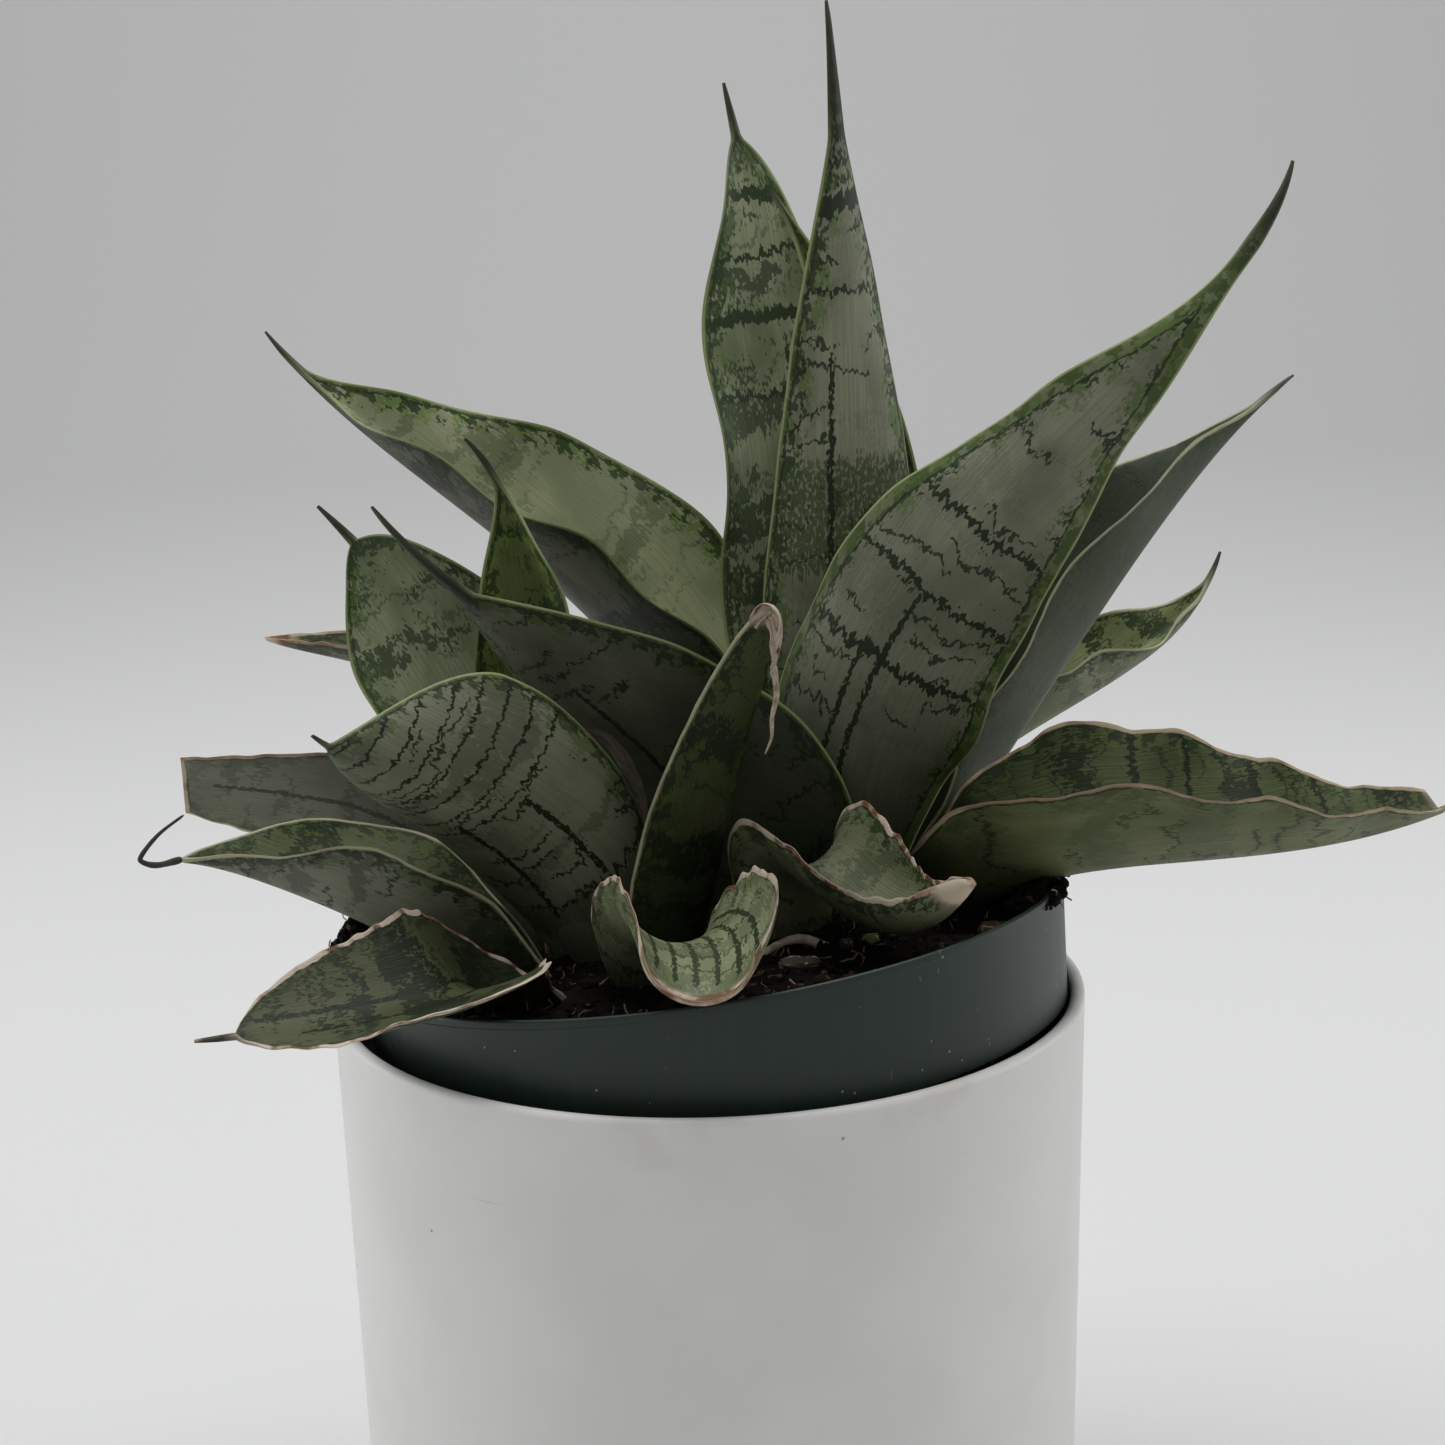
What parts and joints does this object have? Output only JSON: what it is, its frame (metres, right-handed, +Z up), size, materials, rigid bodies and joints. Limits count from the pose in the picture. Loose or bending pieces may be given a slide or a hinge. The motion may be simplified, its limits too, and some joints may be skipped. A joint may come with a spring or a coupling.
{
  "type": "potted snake plant",
  "caption": "Snake plant with broad mottled grey-green leaves in a dark plastic nursery pot, which leans inside a plain white cylindrical ceramic cover pot.",
  "frame": {"origin": "on the cover pot's axis at its flat underside", "axes": "+Z up, +X to the right seen from the front, -Y towards the front"},
  "size_m": [0.2662, 0.1623, 0.3411],
  "materials": {
    "cover_ceramic": "satin",
    "nursery_plastic": "satin",
    "soil": "matte",
    "leaf": "satin",
    "root": "matte",
    "bark": "matte",
    "green_fragment": "matte"
  },
  "bodies": {
    "root": {"cover_pot": "cover_ceramic", "nursery_pot": "nursery_plastic", "soil": "soil", "leaf_tall_centre": "leaf", "leaf_tall_back": "leaf", "leaf_young_centre": "leaf", "leaf_big_right": "leaf", "leaf_right_folded": "leaf", "leaf_right_wavy": "leaf", "leaf_low_right": "leaf", "leaf_upper_left": "leaf", "leaf_left_awned": "leaf", "leaf_front_curled": "leaf", "leaf_withered_tip": "leaf", "leaf_hooded": "leaf", "leaf_pale_left": "leaf", "leaf_left_folded": "leaf", "leaf_far_left": "leaf", "leaf_left_broad": "leaf", "leaf_narrow_folded": "leaf", "leaf_low_left": "leaf", "leaf_front_cut": "leaf", "pale_root": "root", "bark_chip_front": "bark", "bark_chip_small": "bark", "bark_chip_right": "bark", "leaf_fragment": "green_fragment"}
  },
  "joints": []
}
